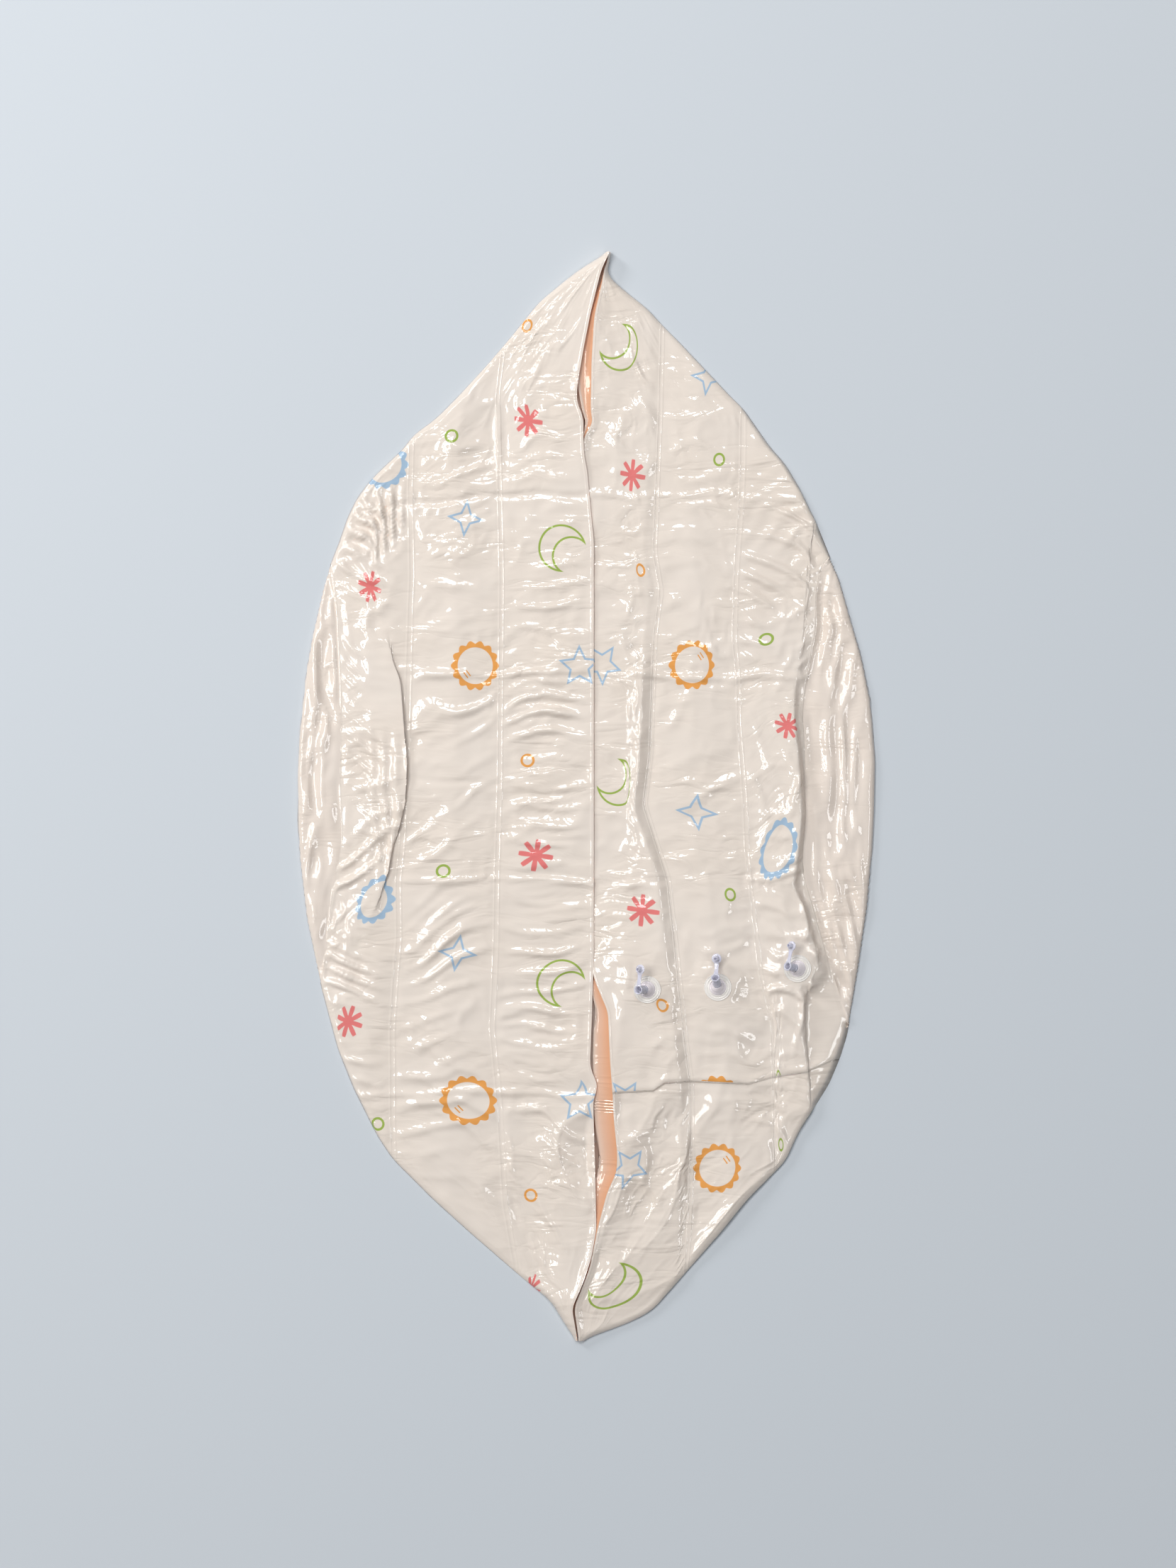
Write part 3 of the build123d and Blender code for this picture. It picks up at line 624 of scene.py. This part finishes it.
def film_material(name, base, printed, through):
    """Soft vinyl with a high gloss: a share of the light that falls on it goes through to the other side."""
    material = bpy.data.materials.new(name)
    material.use_nodes = True
    tree = material.node_tree
    shader = tree.nodes["Principled BSDF"]
    shader.inputs["Roughness"].default_value = 0.04
    shader.inputs["IOR"].default_value = 1.54
    film_map = tree.nodes.new("ShaderNodeUVMap")
    film_map.uv_map = "film"
    down = tree.nodes.new("ShaderNodeAttribute")
    down.attribute_name = "down"
    cloud = new_node(tree, "ShaderNodeTexNoise", {"Scale": 9.0, "Detail": 1.0})
    tree.links.new(film_map.outputs[0], cloud.inputs["Vector"])
    colour = mixed(base, (base[0] * 0.97, base[1] * 0.94, base[2] * 0.90, 1), cloud.outputs[0])
    if name == "lining_film_painted_shade":  # painted shade: a darker orange close under the rim, standing in for the light that only comes through the film there
        near_rim = times_plus(down.outputs["Fac"], -1000.0 / 9.0, 1.0)
        # painted shade colour under the rim
        colour = mixed(colour, (0.88, 0.42, 0.22, 1), times(larger(near_rim, 0.0), 0.9))

    if printed:
        def ink(colour, mask, ink_colour):
            return mixed(colour, film_colours[ink_colour], times(mask, 0.93))

        def stamp(group, values, place=None):
            node = tree.nodes.new("ShaderNodeGroup")
            node.node_tree = group
            for label, value in values.items():
                node.inputs[label].default_value = value
            for label in ("Radius", "Angle") if place else ():
                tree.links.new(place[label], node.inputs[label])
            return node.outputs

        def place_at(u, v, turn=0.0):
            return stamp(place_group, {"Middle U": u, "Middle V": v, "Turn": turn})

        for u, v, turn, *shape in stars:
            star = stamp(star_group, dict(zip(("Tip", "Corner", "Half Step"), shape)), place_at(u, v, turn))
            colour = ink(colour, star["Mask"], "blue")

        for ink_colour, u, v, turn, *shape in motifs:
            values = dict(zip(("Base", "Size", "Lobes", "Power", "Inner", "Line", "Most"), shape))
            colour = ink(colour, stamp(petal_group, values, place_at(u, v, turn))["Mask"], ink_colour)
            if ink_colour == "orange" and values["Inner"] > 0:  # two short strokes inside a sun
                near = place_at(u + 11, v - 11, 0.9)
                dash_x = times(near["Radius"], maths("COSINE", near["Angle"]))
                dash_y = times(near["Radius"], maths("SINE", near["Angle"]))
                far_x = minus(size_of(dash_x), 4.5)
                far_y = minus(size_of(minus(size_of(dash_y), 2.2)), 0.8)
                colour = ink(colour, maths("LESS_THAN", larger(far_x, far_y), 0.0), ink_colour)
        big = place_at(40.0, 317.0)
        cut = place_at(28.0, 307.0)
        moon = larger(minus(big["Radius"], 29.0), minus(24.0, cut["Radius"]))
        moon = times_plus(minus(size_of(moon), 1.3), -1.6, 0.5)
        colour = ink(colour, smaller(larger(moon, 0.0), 1.0), "green")
    tree.links.new(colour, shader.inputs["Base Color"])

    down = times(down.outputs["Fac"], 1000.0)
    to_weld = size_of(maths("WRAP", down, ring_height / 2, -ring_height / 2))
    beside = over_by(minus(to_weld, 2.8), 1.0)
    ridge = maths("EXPONENT", times(times(beside, beside), -1.0))
    if name == "lining_film_painted_shade":  # the lining's own lap is a band of fine ribs across the slot
        apart = tree.nodes.new("ShaderNodeSeparateXYZ")
        tree.links.new(film_map.outputs[0], apart.inputs[0])
        from_lap = times_plus(apart.outputs[1], 1000.0, 395.0 - 900.0)
        in_band = maths("LESS_THAN", size_of(from_lap), 8.0)
        ribs = maths("SINE", times(from_lap, 1.7))
        ridge = times_plus(times(ribs, in_band), 1.4, ridge)
    bump = new_node(tree, "ShaderNodeBump", {"Distance": 0.0012, "Strength": 0.7})
    drawn_out = new_node(tree, "ShaderNodeMapping", {"Scale": (16.0, 46.0, 1.0), "Rotation": (0.0, 0.0, 0.12)})
    tree.links.new(film_map.outputs[0], drawn_out.inputs["Vector"])
    fine = new_node(tree, "ShaderNodeTexNoise", {"Scale": 1.0, "Detail": 2.5, "Distortion": 0.6})
    tree.links.new(drawn_out.outputs[0], fine.inputs["Vector"])
    fold_line = size_of(minus(fine.outputs[0], 0.5))
    where = times(larger(minus(cloud.outputs[0], 0.34), 0.0), 18.0)
    height = plus(times(ridge, 0.28), times(fold_line, where))
    tree.links.new(height, bump.inputs["Height"])
    tree.links.new(bump.outputs[0], shader.inputs["Normal"])

    behind = new_node(tree, "ShaderNodeBsdfTranslucent", {"Color": (1.0, 0.60, 0.36, 1)})
    mix = new_node(tree, "ShaderNodeMixShader", {0: through})
    tree.links.new(shader.outputs[0], mix.inputs[1])
    tree.links.new(behind.outputs[0], mix.inputs[2])
    tree.links.new(mix.outputs[0], tree.nodes["Material Output"].inputs["Surface"])
    return material


printed_film = film_material("printed_film", (0.885, 0.815, 0.745, 1), True, 0.13)
film_hole = 10.8  # under each valve flange

wall_films, settled_films = {}, {}
for side, name in ((-1, "wall_film_left"), (1, "wall_film_right")):
    settled, strip, strip_y = lay_film(side)
    settled_films[side] = settled, strip
    points = settled.reshape(-1, 3)
    triangles = film_triangles(strip.shape, rows_y > 0)
    triangles = facing_up(triangles, points, strip.shape[1])
    if side > 0:
        for centre in valve_centres:
            out = points[:, :2] - centre[:2]
            far = np.hypot(*out.T)
            ring = (np.abs(far - film_hole) < 1.25) & (points[:, 2] > under_height + 2)
            points[ring, :2] = centre[:2] + out[ring] * (film_hole / far[ring])[:, None]
            middle = points[triangles].mean(1)
            triangles = triangles[np.hypot(middle[:, 0] - centre[0],
                                           middle[:, 1] - centre[1]) > film_hole - 0.6]
    over = (np.arange(row_count) > lap_row)[:, None]
    along_strip = strip_y if side < 0 else np.where(over, 335.0 - strip_y, -307.0 - strip_y)
    along_strip = along_strip + 4 * repeat
    print_down = strip.copy()
    if side > 0:
        above = smooth_step(-340, -250, strip_y)
        print_down -= 17 * smooth_step(80, 135, strip) * above
        along_strip += 34 * smooth_step(235, 290, strip) * np.exp(-(((strip_y - 10) / 130) ** 2))
    uv = np.stack([print_down, along_strip], 2).reshape(-1, 2)
    wall_films[side] = make_mesh(name, points, triangles, uv, strip.ravel())
    wall_films[side].data.materials.append(printed_film)
    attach(wall_films[side], "pool")
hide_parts("outer_wall_sheet")

# ---------------------------------------------------------------------------------------------------------
# Inner wall film: the plain vinyl strip behind the outer one. It hangs from the same rim weld, sags into the
# slots as one loose fold from the right, and lies a little under the outer film all the way to the floor.

inner_share = 0.66  # of the outer film's height
inner_belly = {-1: [(-695, 0), (695, 0)],  # how far the loose fold reaches into the slot
               1: [(-650, 0), (-620, 8), (-560, 20), (-500, 34), (-400, 38), (-300, 32), (-250, 22), (-215, 0),
                   (440, 0), (470, 18), (530, 30), (600, 26), (650, 14), (680, 0)]}
# The lining's base colour is a little warmer than the floor's plain film: painted shade for the slots, where
# the lining shows.
lining_film_painted_shade = film_material("lining_film_painted_shade", (0.90, 0.76, 0.66, 1), False, 0.20)
inner_films = {}
for side, name in ((-1, "inner_film_left"), (1, "inner_film_right")):
    settled, strip = (grid[::2, ::2].copy() for grid in settled_films[side])
    settled[..., 2] = np.minimum(eased(settled[..., 2].copy(), 6), settled[..., 2])
    limit = np.abs(settled[:, top_columns // 2, :1]) - 4.0
    settled[..., 0] = side * np.minimum(side * settled[..., 0], np.where(strip > 60, limit, 999))
    drop = smooth_step(0, 9, strip)
    low = np.where(np.arange(strip.shape[1]) * 2 > top_columns, under_height + 0.3, 0)
    settled[..., 2] = settled[..., 2] * (1 - drop) + np.maximum(settled[..., 2] * inner_share + 0.2, low) * drop
    if side > 0:
        for centre in valve_centres:  # room for the stems to be pushed in
            away = np.hypot(settled[..., 0] - centre[0], settled[..., 1] - centre[1])
            settled[..., 2] -= (1 - smooth_step(20, 46, away)) * np.clip(settled[..., 2] - 3.0, 0, None)
    belly = along(inner_belly[side], settled[:, 0, 1])[:, None]
    slope = np.clip(strip / 14.0, 0, 1)
    folded_z = settled[:, :1, 2] * 0.8 * (1 - slope) ** 2 + 7.5 * slope - 3.0 * smooth_step(12, 18, strip)
    in_slot = smooth_step(0, 8, belly) * (1 - smooth_step(26, 44, strip)) * smooth_step(0, 2, strip)
    settled[..., 2] = settled[..., 2] * (1 - in_slot) + folded_z * in_slot
    settled[..., 0] -= side * belly * np.sin(math.pi * np.clip(strip / 28.0, 0, 1)) ** 0.8
    y = settled[:, 0, 1]
    points = settled.reshape(-1, 3)
    triangles = facing_up(film_triangles(strip.shape, y > 0), points, strip.shape[1])
    uv = np.stack([strip, np.repeat(y[:, None], strip.shape[1], 1) + 900], 2).reshape(-1, 2)
    inner_films[side] = make_mesh(name, points, triangles, uv, strip.ravel())
    inner_films[side].data.materials.append(lining_film_painted_shade)
    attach(inner_films[side], "pool")
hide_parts("inner_wall_sheet")

# ---------------------------------------------------------------------------------------------------------
# Floor film: a plain vinyl disc that lies flat under everything, welded all round to the wall. Where it is
# wider than the folded pool, its margins turn up over the outline and run back on top to the wall's lower
# weld, as a soft rounded edge.

floor_rows, floor_columns = 300, 300
lying_height = 0.3  # of the floor film, where it is not turned up
margin_top = {-1: [(-330, 2), (-290, 4), (-150, 7), (0, 8), (150, 8), (250, 6), (290, 3), (330, 2)],
              1: [(-330, 2), (-290, 5), (-150, 8), (0, 7), (150, 6), (250, 5), (290, 3), (330, 2)]}
y = np.sin(np.linspace(-math.pi / 2, math.pi / 2, floor_rows)) * (floor_radius - 0.5)
chord = np.sqrt(floor_radius**2 - y**2)
share = np.linspace(-1, 1, floor_columns + 1)
floor_grid = np.zeros((floor_rows, floor_columns + 1, 3))
floor_grid[..., 1] = y[:, None]
for side in (-1, 1):
    edge = np.abs(across(left_outline if side < 0 else right_outline, y))
    weld = np.abs(across(folded_lines(side)[wall_height][0], y))
    weld_z = along(folded_lines(side)[wall_height][1], y)
    crest = along(margin_top[side], y)
    margin = np.clip(edge - weld + 3, 0, None) * (1 - smooth_step(300, 325, np.abs(y)))
    length = np.where(margin > 0, edge + margin, np.minimum(chord, edge))
    run = side * share[None] * length[:, None]
    over = np.clip(run - edge[:, None], 0, None)
    t = over / np.maximum(margin, 1)[:, None]
    bulge = np.sqrt(np.clip(1 - (1 - np.clip(over / 9.0, 0, 1)) ** 2, 0, 1))
    top = (weld_z + 0.1)[:, None] * t + crest[:, None] * (1 - t)
    wrinkle = lump_noise(run.shape, (60, 40), 71 + side) * 0.8
    wrinkle = wrinkle + lump_noise(run.shape, (26, 70), 75 + side) * 0.6
    long_folds = sharp_noise(run.shape, (16, 74), 81 + side) * 2.6
    long_folds = long_folds + sharp_noise(run.shape, (44, 60), 83 + side) * 1.6
    turned_up = lying_height + bulge * (top - lying_height)
    turned_up = turned_up + (wrinkle + long_folds) * bulge * (1 - t) * 4 * t * 1.2
    z = np.maximum(np.where(over > 0, turned_up, lying_height), lying_height)
    x = side * np.where(over > 0, edge[:, None] - over, run)
    mine = side * share[None] >= 0
    floor_grid[..., 0] = np.where(mine, x, floor_grid[..., 0])
    floor_grid[..., 2] = np.where(mine, z, floor_grid[..., 2])
points = floor_grid.reshape(-1, 3)
triangles = film_triangles(floor_grid.shape[:2], y > 0)
triangles = triangles[np.linalg.norm(normals(triangles, points), axis=1) > 1e-5]
flat_part = points[triangles][..., 2].max(1) < lying_height + 0.01
turned_over = normals(triangles, points)[flat_part, 2].sum() > 0
uv = np.stack([share[None] * chord[:, None] + 900, np.repeat(y[:, None], floor_columns + 1, 1) + 900], 2)
floor_film = make_mesh("floor_film", points, triangles[:, ::-1] if turned_over else triangles,
                       uv.reshape(-1, 2), np.full(len(points), ring_height / 2))
floor_film.data.materials.append(film_material("plain_film", (0.88, 0.80, 0.73, 1), False, 0.13))
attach(floor_film, "pool")
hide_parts("floor_sheet")

# ---------------------------------------------------------------------------------------------------------
# Inflation valves, one for each ring, of clear soft vinyl with a lavender tint. A flange is welded to the
# film, a thin web carries the stem so that it can be pushed in, and the plug hangs on a strap at the lip.

strap_reach, mouth_reach = 13.0, 22.0
segments = 48


def softened(profile, rounds, closed=True):
    """A profile with each corner cut off at a quarter of its two sides, as many times over as rounds says."""
    p = np.array(profile, float)
    for _ in range(rounds):
        q = np.roll(p, -1, axis=0) if closed else p[1:]
        p = p if closed else p[:-1]
        cut = np.stack([0.75 * p + 0.25 * q, 0.25 * p + 0.75 * q], 1).reshape(-1, p.shape[1])
        p = cut if closed else np.concatenate([[profile[0]], cut, [profile[-1]]])
    return p


def turned(profile):
    """A closed profile of (radius, height) carried round the Z axis: x = r cos a, y = r sin a, z = height."""
    a = np.linspace(0, 2 * math.pi, segments, endpoint=False)
    r, h = profile[:, :1], profile[:, 1:]
    return np.stack([r * np.cos(a), r * np.sin(a), np.repeat(h, segments, 1)], 2)


def ring_mesh(name, grid, material):
    """A mesh from a grid that closes on itself both ways, with its faces turned outwards."""
    rows, columns = grid.shape[:2]
    i, j = np.meshgrid(np.arange(rows), np.arange(columns), indexing="ij")
    a, b = i * columns + j, i * columns + (j + 1) % columns
    c, d = (i + 1) % rows * columns + (j + 1) % columns, (i + 1) % rows * columns + j
    triangles = np.concatenate([np.stack([a, b, c], -1), np.stack([a, c, d], -1)]).reshape(-1, 3)
    points = grid.reshape(-1, 3)
    p = points[triangles]
    volume = np.einsum("ij,ij->i", p[:, 0] - points.mean(0),
                       np.cross(p[:, 1] - points.mean(0), p[:, 2] - points.mean(0))).sum()
    piece = make_mesh(name, points, triangles if volume > 0 else triangles[:, ::-1])
    piece.data.materials.append(material)
    return piece


def clear_vinyl(name, colour, milky, clearness):
    """Soft clear plastic: mostly glass-like, with cloudy streaks that are paler and a little rougher."""
    material = bpy.data.materials.new(name)
    material.use_nodes = True
    tree = material.node_tree
    shader = tree.nodes["Principled BSDF"]
    shader.inputs["IOR"].default_value = 1.53
    shader.inputs["Transmission Weight"].default_value = clearness
    place = tree.nodes.new("ShaderNodeTexCoord")
    streaks = new_node(tree, "ShaderNodeTexNoise", {"Scale": 160.0, "Detail": 3.0})
    tree.links.new(place.outputs["Object"], streaks.inputs["Vector"])
    tree.links.new(mixed(colour, milky, streaks.outputs[0]), shader.inputs["Base Color"])
    tree.links.new(times_plus(streaks.outputs[0], 0.12, 0.02), shader.inputs["Roughness"])
    bump = new_node(tree, "ShaderNodeBump", {"Strength": 0.20, "Distance": 0.0004})
    tree.links.new(streaks.outputs[0], bump.inputs["Height"])
    tree.links.new(bump.outputs[0], shader.inputs["Normal"])
    return material


stem_vinyl = clear_vinyl("stem_vinyl", (0.76, 0.76, 0.92, 1), (0.90, 0.90, 0.98, 1), 0.38)
flange_vinyl = clear_vinyl("flange_vinyl", (0.88, 0.83, 0.77, 1), (0.92, 0.88, 0.84, 1), 0.08)
web_vinyl = clear_vinyl("web_vinyl", (0.84, 0.76, 0.80, 1), (0.93, 0.88, 0.90, 1), 0.12)
stem_profile = softened([(5.0, 2.0), (5.0, 7.2), (5.45, 7.6), (5.45, 8.6), (5.0, 9.0), (4.9, 13.0), (5.3, 13.4),
                         (5.3, 14.4), (4.9, 14.8), (4.9, 19.6), (5.9, 20.3), (5.9, 22.0), (3.75, 22.0),
                         (3.75, 14.0), (3.0, 13.6), (3.0, 2.0)], 2)
plug_profile = softened([(0.05, 23.7), (5.6, 23.7), (6.3, 23.3), (6.3, 22.2), (3.7, 22.1), (3.55, 20.6),
                         (3.4, 19.0), (2.5, 16.1), (1.7, 16.1), (1.6, 20.5), (0.05, 20.7)], 2)
flange_profile = softened([(10.5, 18.0), (10.5, 19.1), (11.5, 19.1), (12.0, 18.55), (13.6, 18.5), (14.0, 18.85),
                           (14.8, 18.85), (15.2, 18.5), (16.6, 18.5), (17.0, 18.8), (17.5, 18.6), (17.5, 18.0)],
                          2)
joints = {joint["name"]: joint for joint in frame["joints"]}

for n, centre in zip((1, 2, 3), valve_centres):
    push_in, close = joints[f"valve_{n}_push_in"], joints[f"cap_{n}_close"]
    stem_way = -np.array(push_in["axis"])
    fold_axis = -np.array(close["axis"])
    strap_way = np.cross(fold_axis, stem_way)
    valve_axes = np.stack([strap_way, fold_axis, stem_way])
    origin = np.array(close["pos_m"]) * 1000 - strap_reach * strap_way - mouth_reach * stem_way

    stem = ring_mesh(f"valve_tube_{n}", turned(stem_profile) @ valve_axes + origin, stem_vinyl)
    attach(stem, f"stem_{n}")
    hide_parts(f"valve_stem_{n}")

    # The open plug is the closed one turned round the strap's fold, which lies level with the mouth.
    open_angle = math.radians(close["range_deg"][1])
    fold = np.array([strap_reach, 0, mouth_reach])
    swing = np.array([[math.cos(open_angle), 0, -math.sin(open_angle)], [0, 1, 0],
                      [math.sin(open_angle), 0, math.cos(open_angle)]])
    plug_grid = ((turned(plug_profile) - fold) @ swing + fold) @ valve_axes + origin
    plug = ring_mesh(f"stopper_{n}", plug_grid, stem_vinyl)
    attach(plug, f"cap_{n}")
    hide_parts(f"cap_plug_{n}")

    # Strap: its middle line bends at the fold; across it, x = half width * sign(cos) |cos|^0.5, z likewise.
    rise = math.pi - open_angle
    level = mouth_reach - 0.9
    bend = np.array([strap_reach + 0.9 * math.tan(rise / 2), level])
    away = np.array([math.cos(rise), math.sin(rise)])
    middle = softened([(4.9, level), bend - (2.5, 0), bend, bend + 2.5 * away,
                       bend + (strap_reach - 5.9) * away], 3, closed=False)
    run = np.gradient(middle, axis=0)
    run /= np.linalg.norm(run, axis=1, keepdims=True)
    s = np.linspace(0, 1, len(middle))[:, None]
    a = np.linspace(0, 2 * math.pi, 24, endpoint=False)[None]
    half_wide = 2.5 + 1.5 * np.abs(2 * s - 1) ** 3
    side_way = half_wide * np.sign(np.cos(a)) * np.abs(np.cos(a)) ** 0.5
    up_way = 0.5 * np.sign(np.sin(a)) * np.abs(np.sin(a)) ** 0.5
    strap_grid = np.stack([middle[:, :1] - run[:, 1:] * up_way, side_way,
                           middle[:, 1:] + run[:, :1] * up_way], 2)
    ends = strap_grid[[0, -1]].mean(1, keepdims=True) + 0 * strap_grid[[0, -1]]
    strap_grid = np.concatenate([ends[:1], strap_grid, ends[1:]])
    strap = ring_mesh(f"plug_strap_{n}", strap_grid @ valve_axes + origin, stem_vinyl)
    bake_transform(strap)
    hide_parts(f"cap_strap_{n}")

    flange = ring_mesh(f"flange_ring_{n}", turned(flange_profile) + [centre[0], centre[1], 0], flange_vinyl)
    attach(flange, "pool")
    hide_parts(f"valve_flange_{n}")

    # Web: from the flange's bore to the stem, point = (1 - t) foot + t top, with two soft ripples along it.
    t = np.concatenate([np.linspace(0, 1, 13), np.linspace(1, 0, 13)])[:, None, None]
    inner = np.repeat([0.0, 1.0], 13)[:, None, None]
    a = np.linspace(0, 2 * math.pi, segments, endpoint=False)
    level_way = np.array([*strap_way[:2], 0]) / math.hypot(*strap_way[:2])
    level_side = np.array([-level_way[1], level_way[0], 0])
    foot_centre = np.array([centre[0], centre[1], 18.5])
    spokes = np.cos(a)[None, :, None] * level_way + np.sin(a)[None, :, None] * level_side
    leaning = np.cos(a)[None, :, None] * strap_way + np.sin(a)[None, :, None] * fold_axis
    foot = foot_centre + (10.9 - 0.7 * inner) * spokes
    top = origin + 5.0 * stem_way + (5.5 - 0.7 * inner) * leaning
    ripple = 0.45 * np.sin(2 * math.pi * 2 * t) * np.sin(math.pi * t)
    web_grid = (1 - t) * foot + t * top + (ripple - 0.6 * inner * np.sin(math.pi * t)) * stem_way
    web = ring_mesh(f"valve_collar_{n}", web_grid, web_vinyl)
    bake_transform(web)
    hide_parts(f"valve_web_{n}")

    flap = frame["nodes"][f"check_flap_{n}"]
    flap.data.materials.clear()
    flap.data.materials.append(flange_vinyl)

# ---------------------------------------------------------------------------------------------------------
# Camera and lights: straight above a pale blue-grey paper floor, in a bright room with paned windows to the
# left and at the top, a dim ceiling, and a low sun-side light that models the folds.

bpy.context.scene.view_settings.view_transform = "Standard"
view_centre = (0.0015, 0.016)
camera_data = bpy.data.cameras.new("camera")
camera = placed("camera", camera_data)
camera.location = (view_centre[0], view_centre[1], 4.2)
camera_data.sensor_fit = "VERTICAL"
camera_data.sensor_height = 24.0
camera_data.lens = 24.0 * 4.19 / 2.0
bpy.context.scene.camera = camera

floor_mesh = bpy.data.meshes.new("backdrop")
floor_mesh.from_pydata([(-6, -6, 0), (6, -6, 0), (6, 6, 0), (-6, 6, 0)], [], [(0, 1, 2, 3)])
backdrop = placed("backdrop", floor_mesh)
paper = bpy.data.materials.new("backdrop_paper")
paper.use_nodes = True
paper_shader = paper.node_tree.nodes["Principled BSDF"]
paper_shader.inputs["Base Color"].default_value = (0.58, 0.618, 0.66, 1)
paper_shader.inputs["Roughness"].default_value = 0.9
paper_shader.inputs["Specular IOR Level"].default_value = 0.1
floor_mesh.materials.append(paper)

world = bpy.data.worlds.new("studio")
bpy.context.scene.world = world
world.use_nodes = True
world.node_tree.nodes["Background"].inputs["Color"].default_value = (0.92, 0.96, 1.0, 1)
world.node_tree.nodes["Background"].inputs["Strength"].default_value = 0.10


def window(name, place, size, power, colour, aimed=False):
    """A rectangle of light that hangs level above the floor and shines down, or at the pool if aimed."""
    data = bpy.data.lights.new(name, "AREA")
    data.shape = "RECTANGLE"
    data.size, data.size_y = size
    data.energy = power
    data.color = colour
    light = placed(name, data)
    light.location = place
    if aimed:
        light.rotation_euler = (-Vector(place)).to_track_quat("-Z", "Y").to_euler()


window("ceiling", (0.0, 0.0, 6.6), (6.5, 6.5), 40, (0.97, 0.98, 1.0))
for n, shift in enumerate((-0.85, 0.0, 0.85)):  # panes, with dark bars between them
    window(f"left_pane_{n + 1}", (-3.6 + shift, 1.2, 5.9), (0.5, 3.8), 88, (1.0, 0.99, 0.97))
    window(f"top_pane_{n + 1}", (-0.6 + 1.3 * shift, 3.7, 5.9), (0.62, 2.2), 57, (0.98, 0.99, 1.0))
window("window_right", (3.6, -0.9, 5.9), (1.1, 2.8), 78, (0.95, 0.98, 1.0))
window("low_daylight", (-5.6, 4.2, 2.9), (1.6, 1.6), 200, (1.0, 1.0, 1.0), aimed=True)
